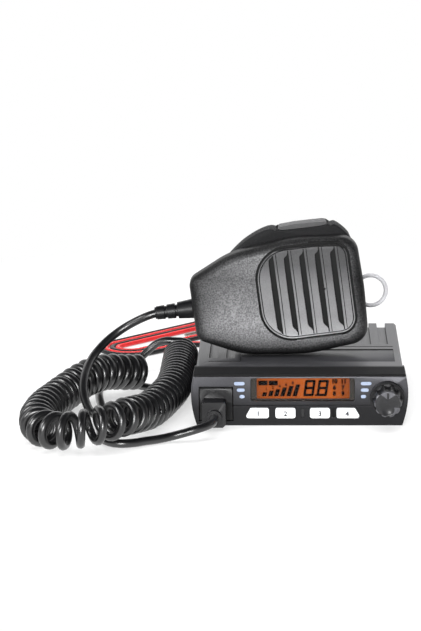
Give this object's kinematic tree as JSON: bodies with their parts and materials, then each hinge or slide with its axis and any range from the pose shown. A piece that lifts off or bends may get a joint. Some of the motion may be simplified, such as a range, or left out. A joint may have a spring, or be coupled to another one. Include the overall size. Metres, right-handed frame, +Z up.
{
  "type": "mobile two-way radio",
  "caption": "Compact mobile two-way radio with a ribbed case, lit display and channel knob, and a hand microphone on a curly cord standing on its top.",
  "frame": {"origin": "on the table under the middle of the radio, halfway from knob face to antenna socket end", "axes": "+X to the right as seen from the front, +Y from the front panel to the back, +Z up"},
  "size_m": [0.1808, 0.3109, 0.0884],
  "materials": {
    "case_metal": "matt black paint on cast metal",
    "bezel_plastic": "fine matt moulding",
    "window_clear": "clear moulded window",
    "display_amber": "amber lit display glass",
    "light_white": "milky white plastic",
    "board_green": "laminate with solder mask",
    "black_plastic": "black moulded plastic",
    "mic_plastic": "fine grained dark grey moulding",
    "bright_metal": "nickel plated",
    "steel": "plain or tinned metal",
    "contact_brass": "plain brass",
    "paper": "black paper cone",
    "plug_clear": "clear moulded plug body",
    "black_rubber": "satin black cord sheath",
    "wire_red": "red insulation"
  },
  "bodies": {
    "radio": {"chassis": "case_metal", "bottom_cover": "case_metal", "front_bezel": "bezel_plastic", "display_window": "window_clear", "lcd_panel": "display_amber", "lcd_light_guide": "light_white", "left_lights": "light_white", "right_lights": "light_white", "status_light": "light_white", "tact_switches": "black_plastic", "front_board": "board_green", "main_board": "board_green", "shield_can": "steel", "output_transistor": "black_plastic", "board_parts": "black_plastic", "encoder_housing": "steel", "mic_socket": "black_plastic", "speaker_frame": "steel", "speaker_cone": "paper", "speaker_magnet": "steel", "antenna_socket": "bright_metal", "antenna_nut": "bright_metal", "antenna_insulator": "light_white", "antenna_contact": "contact_brass", "phone_socket": "black_plastic", "phone_nut": "bright_metal", "power_grommet": "black_rubber", "cover_screws": "bright_metal", "bezel_screws": "bright_metal", "board_screws": "bright_metal", "mic_plug": "black_plastic", "plug_tongue": "plug_clear", "mic_lead": "black_rubber", "curly_cord": "black_rubber", "plug_lead": "black_rubber", "power_wire_red": "wire_red", "power_wire_black": "black_rubber", "wire_tips": "steel"},
    "handset": {"mic_front_shell": "mic_plastic", "mic_rear_shell": "black_plastic", "mic_capsule": "steel", "capsule_boot": "black_rubber", "mic_board": "board_green", "talk_key_pin": "steel", "talk_switch": "black_plastic", "mic_screws": "bright_metal", "mic_boot": "black_rubber"},
    "talk_key": {"talk_key": "mic_plastic"},
    "ring": {"hang_ring": "bright_metal"},
    "knob_press": {"encoder_slider": "light_white"},
    "knob": {"channel_knob": "bezel_plastic", "knob_shaft": "steel"},
    "button_1": {"button_1": "light_white"},
    "button_2": {"button_2": "light_white"},
    "button_3": {"button_3": "light_white"},
    "button_4": {"button_4": "light_white"}
  },
  "joints": [
    {"name": "button_1_press", "type": "slide", "parent": "radio", "child": "button_1", "axis": [0, 1, 0], "range_m": [0, 0.0006], "stiffness_N_per_m": 800, "springref_m": -0.0006},
    {"name": "button_2_press", "type": "slide", "parent": "radio", "child": "button_2", "axis": [0, 1, 0], "range_m": [0, 0.0006], "stiffness_N_per_m": 800, "springref_m": -0.0006},
    {"name": "button_3_press", "type": "slide", "parent": "radio", "child": "button_3", "axis": [0, 1, 0], "range_m": [0, 0.0006], "stiffness_N_per_m": 800, "springref_m": -0.0006},
    {"name": "button_4_press", "type": "slide", "parent": "radio", "child": "button_4", "axis": [0, 1, 0], "range_m": [0, 0.0006], "stiffness_N_per_m": 800, "springref_m": -0.0006},
    {"name": "knob_push", "type": "slide", "parent": "radio", "child": "knob_press", "axis": [0, 1, 0], "range_m": [0, 0.0007], "stiffness_N_per_m": 1500, "springref_m": -0.0008},
    {"name": "knob_turn", "type": "hinge", "parent": "knob_press", "child": "knob", "pos_m": [0.041, -0.05, 0.014], "axis": [0, 1, 0], "continuous": true},
    {"name": "mic_lift", "type": "slide", "parent": "radio", "child": "handset", "axis": [0, 0, 1], "range_m": [0, 0.05], "deforming": ["mic_lead"]},
    {"name": "talk_key_press", "type": "hinge", "parent": "handset", "child": "talk_key", "pos_m": [-0.00688, 0.0003, 0.08216], "axis": [0, 1, 0], "range_deg": [0, 4], "stiffness_Nm_per_rad": 0.6, "springref_deg": -3.44},
    {"name": "ring_swing", "type": "hinge", "parent": "handset", "child": "ring", "pos_m": [0.02742, 0.0098, 0.05056], "axis": [-0.1271, 0, 0.9919], "range_deg": [0, 100]}
  ]
}
